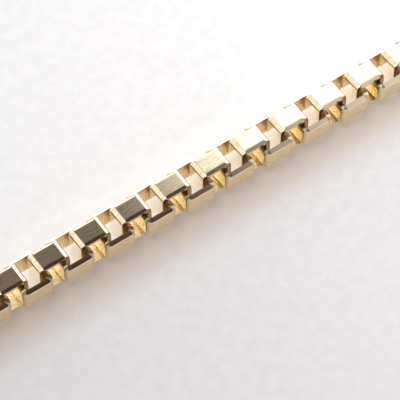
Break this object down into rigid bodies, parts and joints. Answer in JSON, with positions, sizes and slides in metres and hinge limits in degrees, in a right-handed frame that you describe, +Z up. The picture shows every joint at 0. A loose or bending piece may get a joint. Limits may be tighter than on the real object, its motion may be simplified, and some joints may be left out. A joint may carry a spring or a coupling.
{
  "type": "box chain necklace",
  "caption": "Gold box chain necklace of square interlocking strip links, a closed loop with a plain barrel clasp, lying flat.",
  "frame": {"origin": "centre of the lying loop, on the surface under it", "axes": "+X along the two straight sides, +Y from the front side to the clasp's side, +Z up"},
  "size_m": [0.154, 0.0942, 0.003],
  "materials": {
    "gold": "polished yellow gold, faintly brushed",
    "clasp_gold": "polished yellow gold"
  },
  "bodies": {
    "root": {"chain_left": "gold", "chain_right": "gold", "clasp": "clasp_gold"}
  },
  "joints": []
}
